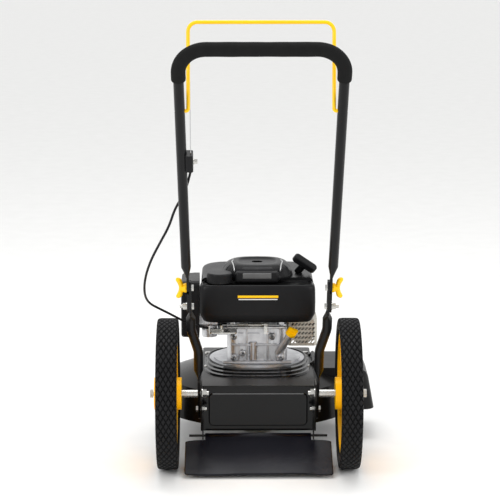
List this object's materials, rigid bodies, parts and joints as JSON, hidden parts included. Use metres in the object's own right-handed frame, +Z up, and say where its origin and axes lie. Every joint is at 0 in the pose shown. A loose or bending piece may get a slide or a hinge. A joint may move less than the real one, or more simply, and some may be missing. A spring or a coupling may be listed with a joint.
{
  "type": "brush mower",
  "caption": "Walk-behind brush mower with high rear wheels, a round cutter pan under a vertical-shaft engine, a gliding front support, rear flap and folding handle with stop bail.",
  "frame": {"origin": "on the ground, midway between the two wheels, straight below their axle", "axes": "+X to the operator's right, +Y ahead of the operator, +Z up"},
  "size_m": [0.5547, 1.0605, 1.0813],
  "materials": {
    "tyre": "moulded black rubber with a diamond tread",
    "yellow_plastic": "moulded yellow plastic, satin",
    "yellow_rod": "yellow powder coat on bent rod",
    "zinc": "bright zinc plating",
    "black_steel": "satin black powder coat",
    "gloss_black_steel": "gloss black powder coat",
    "black_tube": "satin black powder coat on tube",
    "foam": "closed cell foam sleeve",
    "black_plastic": "textured black moulding",
    "flap_vinyl": "glossy flexible black sheet",
    "bare_wire": "twisted steel wire",
    "cable_sheath": "black cable sheath",
    "cast_alloy": "as-cast aluminium",
    "pressed_steel": "pressed steel",
    "rubber_cap": "moulded rubber cap",
    "steel": "ground steel",
    "cast_hub": "cast iron",
    "muffler_steel": "heat-toned steel",
    "guard_steel": "plated perforated steel"
  },
  "bodies": {
    "chassis": {"frame_plate": "black_steel", "engine_seat_ring": "black_steel", "rear_panel": "gloss_black_steel", "left_side_plate": "black_steel", "right_side_plate": "black_steel", "cutter_pan": "black_steel", "deflector_hinge": "black_steel", "flap_rod": "black_steel", "left_lower_arm": "black_tube", "right_lower_arm": "black_tube", "frame_bolts": "zinc", "axles": "zinc", "axle_nuts": "zinc", "axle_sleeves": "zinc", "fold_bolts": "zinc", "pivot_nuts": "zinc", "engine_sump": "cast_alloy", "crankcase": "cast_alloy", "cylinder": "cast_alloy", "cylinder_head": "cast_alloy", "valve_cover": "pressed_steel", "spark_plug_and_cap": "rubber_cap", "fuel_tank": "black_plastic", "blower_housing": "black_plastic", "recoil_cover": "black_plastic", "air_filter_base": "black_plastic", "air_filter_cover": "black_plastic", "carburettor": "cast_alloy", "muffler": "muffler_steel", "muffler_guard": "guard_steel", "oil_filler_tube": "cast_alloy", "control_bracket": "zinc", "governor_linkage": "zinc"},
    "left_wheel": {"left_tyre": "tyre", "left_wheel_rim": "yellow_plastic"},
    "right_wheel": {"right_tyre": "tyre", "right_wheel_rim": "yellow_plastic"},
    "rotor": {"crankshaft": "steel", "blade_hub": "cast_hub", "cutter_blade": "black_steel", "rotor_nuts": "zinc", "flywheel_fan": "cast_alloy", "starter_cup": "pressed_steel"},
    "glide": {"glide_disc": "zinc"},
    "deflector": {"discharge_deflector": "black_plastic"},
    "flap": {"rear_flap": "flap_vinyl"},
    "handle": {"upper_handle": "black_tube", "foam_grip": "foam", "cable_clamp": "black_plastic", "cable_clamp_bolt": "zinc", "bail_wire": "bare_wire", "control_cable": "cable_sheath"},
    "bail": {"stop_bail": "yellow_rod"},
    "left_knob": {"left_wing_knob": "yellow_plastic"},
    "right_knob": {"right_wing_knob": "yellow_plastic"},
    "stop_lever_body": {"stop_lever": "zinc"},
    "cap": {"fuel_cap": "black_plastic"},
    "oil_stick": {"dipstick": "yellow_plastic"},
    "pull_grip": {"starter_grip": "black_plastic"}
  },
  "joints": [
    {"name": "left_wheel_spin", "type": "hinge", "parent": "chassis", "child": "left_wheel", "pos_m": [-0.2125, 0, 0.1775], "axis": [1, 0, 0], "continuous": true},
    {"name": "right_wheel_spin", "type": "hinge", "parent": "chassis", "child": "right_wheel", "pos_m": [0.2125, 0, 0.1775], "axis": [1, 0, 0], "continuous": true},
    {"name": "rotor_spin", "type": "hinge", "parent": "chassis", "child": "rotor", "pos_m": [0, 0.31, 0.1], "axis": [0, 0, 1], "continuous": true},
    {"name": "glide_spin", "type": "hinge", "parent": "rotor", "child": "glide", "pos_m": [0, 0.31, 0.03], "axis": [0, 0, 1], "continuous": true},
    {"name": "deflector_lift", "type": "hinge", "parent": "chassis", "child": "deflector", "pos_m": [0.1415, 0.32, 0.186], "axis": [0, -1, 0], "range_deg": [0, 75], "stiffness_Nm_per_rad": 0.6, "springref_deg": -40.11},
    {"name": "flap_swing", "type": "hinge", "parent": "chassis", "child": "flap", "pos_m": [0, 0.038, 0.064], "axis": [-1, 0, 0], "range_deg": [0, 45]},
    {"name": "handle_fold", "type": "hinge", "parent": "chassis", "child": "handle", "pos_m": [0, -0.1385, 0.41739], "axis": [-1, 0, 0], "range_deg": [0, 112], "deforming": ["control_cable"]},
    {"name": "bail_squeeze", "type": "hinge", "parent": "handle", "child": "bail", "pos_m": [0, -0.414, 0.89457], "axis": [1, 0, 0], "range_deg": [0, 28], "stiffness_Nm_per_rad": 1.5, "springref_deg": -28.65, "deforming": ["bail_wire"]},
    {"name": "left_knob_turn", "type": "hinge", "parent": "chassis", "child": "left_knob", "pos_m": [-0.164, -0.1665, 0.46589], "axis": [-1, 0, 0], "continuous": true},
    {"name": "right_knob_turn", "type": "hinge", "parent": "chassis", "child": "right_knob", "pos_m": [0.164, -0.1665, 0.46589], "axis": [1, 0, 0], "continuous": true},
    {"name": "stop_lever_swing", "type": "hinge", "parent": "chassis", "child": "stop_lever_body", "pos_m": [-0.088, 0.204, 0.285], "axis": [0, 0, 1], "range_deg": [0, 22]},
    {"name": "fuel_cap_turn", "type": "hinge", "parent": "chassis", "child": "cap", "pos_m": [-0.092, 0.203, 0.41], "axis": [0, 0, 1], "continuous": true},
    {"name": "dipstick_turn", "type": "hinge", "parent": "chassis", "child": "oil_stick", "pos_m": [0.08, 0.203, 0.272], "axis": [0.4638, -0.3147, 0.8282], "range_deg": [0, 90]},
    {"name": "starter_pull", "type": "slide", "parent": "chassis", "child": "pull_grip", "axis": [0.4664, -0.5516, 0.6915], "range_m": [0, 0.4], "stiffness_N_per_m": 12, "springref_m": -0.3}
  ],
  "couplings": [
    {"joint": "stop_lever_swing", "follows": "bail_squeeze", "ratio": 0.7}
  ]
}
